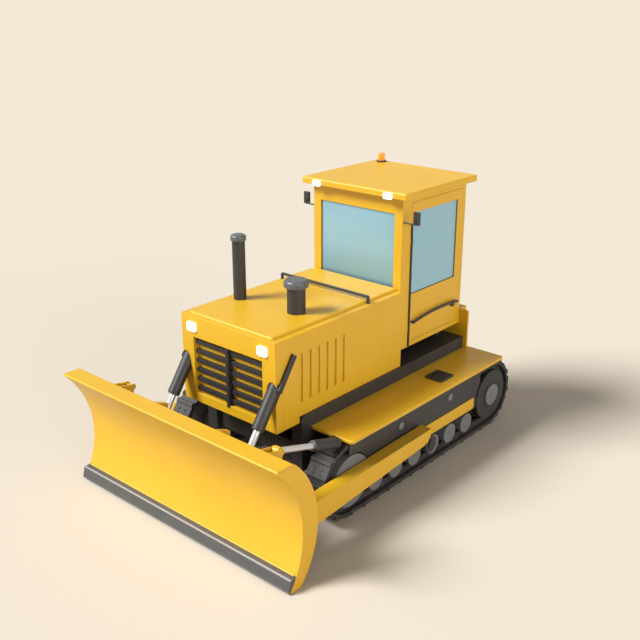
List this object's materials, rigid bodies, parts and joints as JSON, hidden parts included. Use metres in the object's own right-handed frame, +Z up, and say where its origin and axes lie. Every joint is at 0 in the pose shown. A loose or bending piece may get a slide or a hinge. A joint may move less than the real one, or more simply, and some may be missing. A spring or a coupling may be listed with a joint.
{
  "type": "crawler bulldozer",
  "caption": "Crawler bulldozer with a straight lifting blade on push arms, louvred engine hood, glazed cab with two opening doors, and shoe tracks.",
  "frame": {"origin": "on the ground, at the centre of the machine's overall box", "axes": "+Z up, the blade at -Y, the machine's left side at +X"},
  "size_m": [3.25, 4.8218, 3.3295],
  "materials": {
    "yellow_paint": "satin yellow machine paint",
    "dark_paint": "satin near-black paint",
    "grey_paint": "satin mid-grey paint",
    "track_steel": "dark worn steel",
    "edge_steel": "ground grey steel with a worn edge",
    "chrome_rod": "polished hard chrome",
    "dark_plastic": "matt black moulded plastic",
    "seat_vinyl": "dark vinyl",
    "cab_glass": "blue-green tinted safety glass",
    "lamp_lens": "clear lens over a white reflector",
    "beacon_lens": "amber lens"
  },
  "bodies": {
    "chassis": {"frame_rails": "dark_paint", "frame_crossmembers": "dark_paint", "final_drives": "dark_paint", "engine_block": "dark_paint", "drawbar": "dark_paint", "hood_front": "yellow_paint", "hood_left": "yellow_paint", "hood_right": "yellow_paint", "hood_lid": "yellow_paint", "grille": "dark_plastic", "headlights": "lamp_lens", "exhaust_stack": "dark_paint", "precleaner": "dark_paint", "stack_caps": "grey_paint", "hood_rail": "dark_paint", "lift_brackets": "dark_paint", "cab_floor": "yellow_paint", "cab_front": "yellow_paint", "cab_rear": "yellow_paint", "cab_side_left": "yellow_paint", "cab_side_right": "yellow_paint", "cab_roof": "yellow_paint", "windscreen": "cab_glass", "rear_window": "cab_glass", "roof_lamps": "lamp_lens", "beacon": "beacon_lens", "mirrors": "dark_paint", "seat": "seat_vinyl", "cab_controls": "dark_plastic", "door_hinges": "dark_paint", "rear_guard": "yellow_paint", "fuel_tank": "yellow_paint", "fenders": "yellow_paint", "track_frames": "dark_paint", "track_guards": "yellow_paint", "wheels": "grey_paint", "sprockets": "track_steel", "strut_bracket": "dark_paint", "track_left": "track_steel", "track_right": "track_steel"},
    "blade": {"blade": "yellow_paint", "blade_plates": "yellow_paint", "cutting_edge": "edge_steel", "arm_heels": "dark_paint", "push_arm_left": "yellow_paint", "push_arm_right": "yellow_paint"},
    "lift_barrel_left": {"lift_barrel_left": "dark_paint"},
    "lift_rod_left": {"lift_rod_left": "chrome_rod"},
    "door_left": {"door_left": "yellow_paint", "door_glass_left": "cab_glass", "door_handle_left": "dark_paint"},
    "lift_barrel_right": {"lift_barrel_right": "dark_paint"},
    "lift_rod_right": {"lift_rod_right": "chrome_rod"},
    "door_right": {"door_right": "yellow_paint", "door_glass_right": "cab_glass", "door_handle_right": "dark_paint"},
    "strut_barrel": {"strut_barrel": "dark_paint"},
    "strut_rod": {"strut_rod": "chrome_rod"}
  },
  "joints": [
    {"name": "blade_lift", "type": "hinge", "parent": "chassis", "child": "blade", "pos_m": [0, 0.488, 0.363], "axis": [-1, 0, 0], "range_deg": [-2, 7.5]},
    {"name": "lift_barrel_swing_left", "type": "hinge", "parent": "chassis", "child": "lift_barrel_left", "pos_m": [0.648, -1.42989, 1.53038], "axis": [-1, 0, 0], "range_deg": [-3, 10.8]},
    {"name": "lift_rod_slide_left", "type": "slide", "parent": "lift_barrel_left", "child": "lift_rod_left", "axis": [0, 0.5686, 0.8226], "range_m": [-0.08, 0.296]},
    {"name": "door_swing_left", "type": "hinge", "parent": "chassis", "child": "door_left", "pos_m": [0.672, 0.846, 2.1], "axis": [0, 0, -1], "range_deg": [0, 90]},
    {"name": "lift_barrel_swing_right", "type": "hinge", "parent": "chassis", "child": "lift_barrel_right", "pos_m": [-0.648, -1.42989, 1.53038], "axis": [-1, 0, 0], "range_deg": [-3, 10.8]},
    {"name": "lift_rod_slide_right", "type": "slide", "parent": "lift_barrel_right", "child": "lift_rod_right", "axis": [0, 0.5686, 0.8226], "range_m": [-0.08, 0.296]},
    {"name": "door_swing_right", "type": "hinge", "parent": "chassis", "child": "door_right", "pos_m": [-0.672, 0.846, 2.1], "axis": [0, 0, 1], "range_deg": [0, 90]},
    {"name": "strut_barrel_swing", "type": "hinge", "parent": "chassis", "child": "strut_barrel", "pos_m": [1.13, -1.03, 0.933], "axis": [-1, 0, 0], "range_deg": [-5.6, 20.8]},
    {"name": "strut_rod_slide", "type": "slide", "parent": "strut_barrel", "child": "strut_rod", "axis": [0, -0.9571, 0.2899], "range_m": [-0.005, 0.015]}
  ],
  "couplings": [
    {"joint": "lift_barrel_swing_left", "follows": "blade_lift", "ratio": 1.42},
    {"joint": "lift_rod_slide_left", "follows": "blade_lift", "m_per_rad": 2.24},
    {"joint": "lift_barrel_swing_right", "follows": "blade_lift", "ratio": 1.42},
    {"joint": "lift_rod_slide_right", "follows": "blade_lift", "m_per_rad": 2.24},
    {"joint": "strut_barrel_swing", "follows": "blade_lift", "ratio": 2.76},
    {"joint": "strut_rod_slide", "follows": "blade_lift", "m_per_rad": 0.11}
  ]
}
